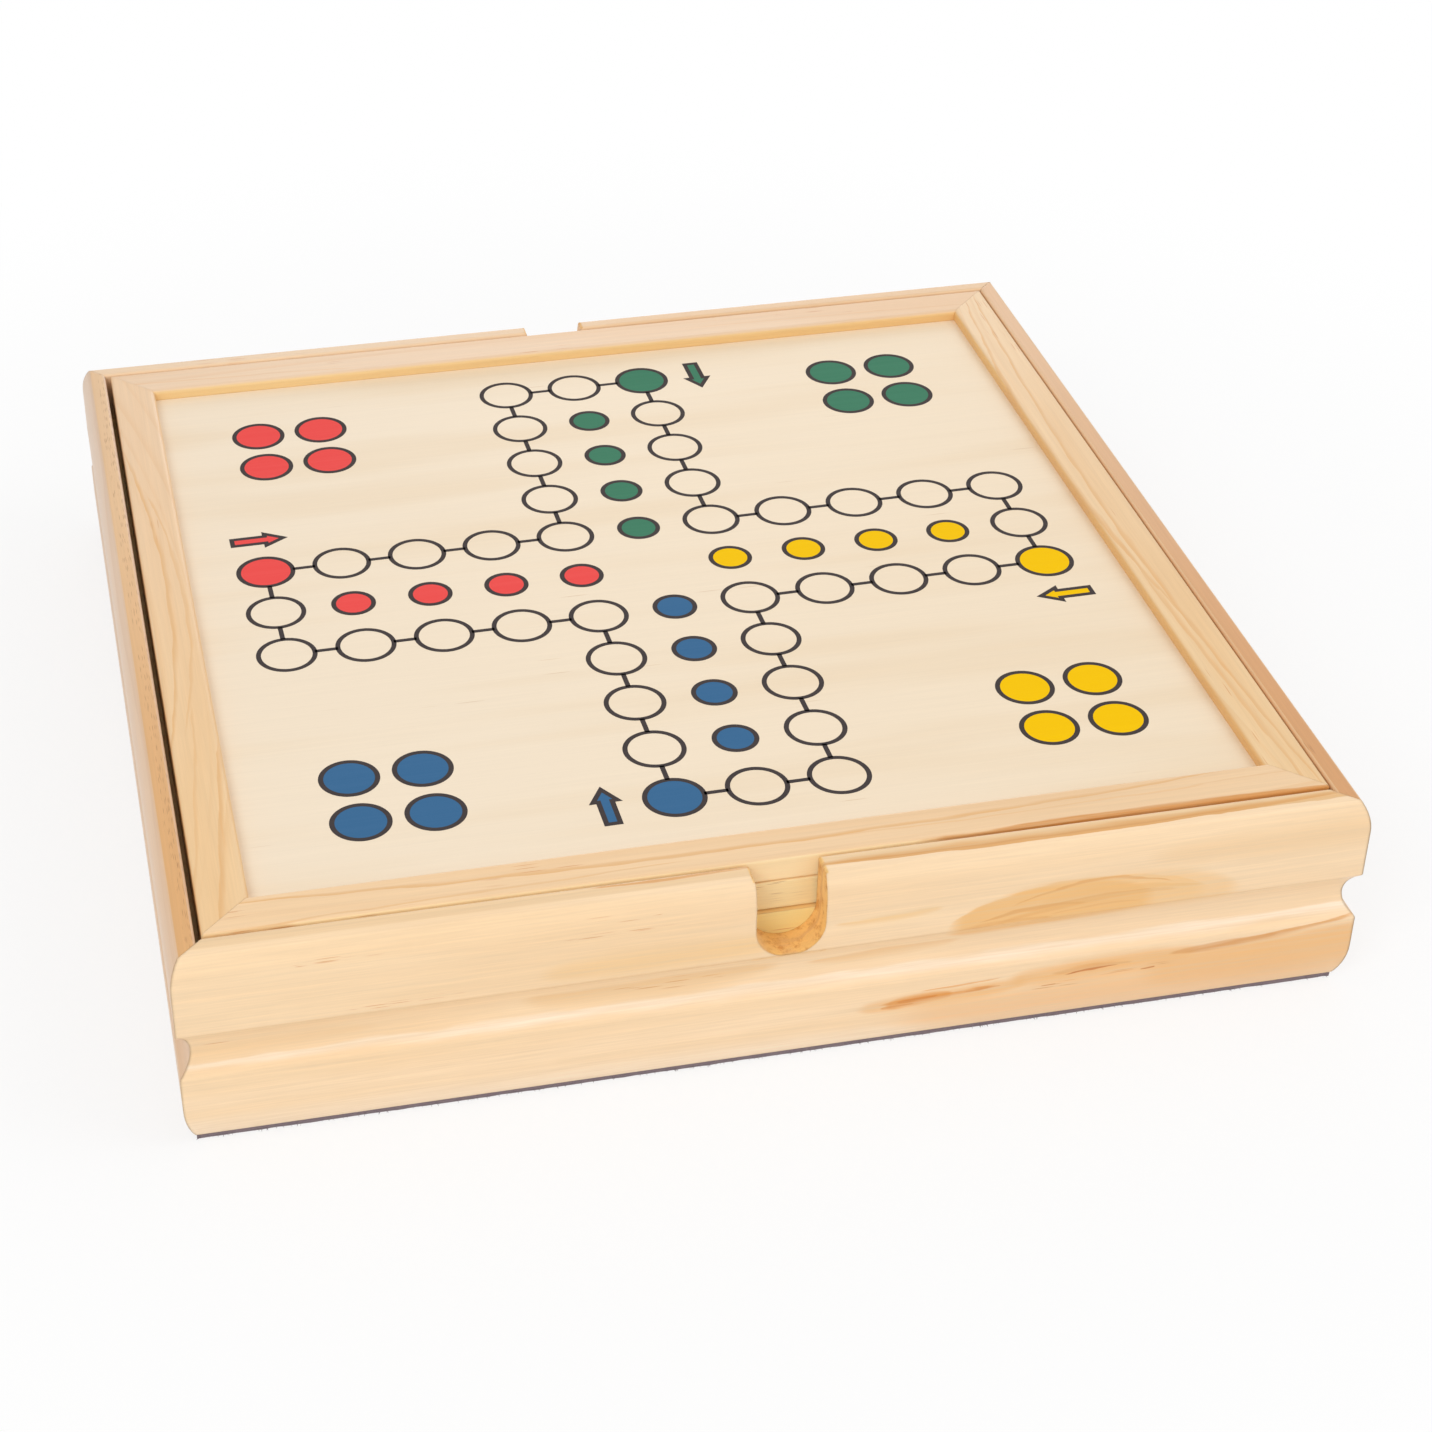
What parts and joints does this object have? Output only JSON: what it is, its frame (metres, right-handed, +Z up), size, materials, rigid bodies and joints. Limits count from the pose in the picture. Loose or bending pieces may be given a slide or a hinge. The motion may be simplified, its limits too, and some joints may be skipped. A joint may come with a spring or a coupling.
{
  "type": "ludo board box",
  "caption": "Low square pine games box with moulded mitred walls, finger notches and two framed lift-out boards, the upper one for ludo, over a slotted divider.",
  "frame": {"origin": "middle of the felt pad's underside, on the surface that the box stands on", "axes": "+Z up, +Y towards the back wall, +X to the right as seen from the front wall"},
  "size_m": [0.29, 0.29, 0.055],
  "materials": {
    "pine_wall": "clear satin varnish on moulded pine",
    "pine_rail": "clear satin varnish on pine",
    "lining_wood": "smooth sanded softwood",
    "plywood": "sanded thin plywood",
    "panel_veneer": "pale basswood veneer with a clear satin coat",
    "felt": "thin dark felt",
    "red_lacquer": "gloss lacquer on turned wood",
    "green_lacquer": "gloss lacquer on turned wood",
    "yellow_lacquer": "gloss lacquer on turned wood",
    "blue_lacquer": "gloss lacquer on turned wood",
    "die_plastic": "polished ivory-white plastic"
  },
  "bodies": {
    "box": {"front_wall": "pine_wall", "back_wall": "pine_wall", "left_wall": "pine_wall", "right_wall": "pine_wall", "front_lining": "lining_wood", "back_lining": "lining_wood", "left_lining": "lining_wood", "right_lining": "lining_wood", "base_panel": "plywood", "felt_pad": "felt", "long_divider": "plywood", "left_cross_divider": "plywood", "right_cross_divider": "plywood", "red_pawns": "red_lacquer", "green_pawns": "green_lacquer", "yellow_pawns": "yellow_lacquer", "blue_pawns": "blue_lacquer", "dice": "die_plastic"},
    "second_board": {"second_front_rail": "pine_rail", "second_back_rail": "pine_rail", "second_left_rail": "pine_rail", "second_right_rail": "pine_rail", "second_panel": "panel_veneer"},
    "ludo_board": {"ludo_front_rail": "pine_rail", "ludo_back_rail": "pine_rail", "ludo_left_rail": "pine_rail", "ludo_right_rail": "pine_rail", "ludo_panel": "panel_veneer"}
  },
  "joints": [
    {"name": "second_board_lift", "type": "slide", "parent": "box", "child": "second_board", "axis": [0, 0, 1], "range_m": [0, 0.1]},
    {"name": "ludo_board_lift", "type": "slide", "parent": "second_board", "child": "ludo_board", "axis": [0, 0, 1], "range_m": [0, 0.1]}
  ]
}
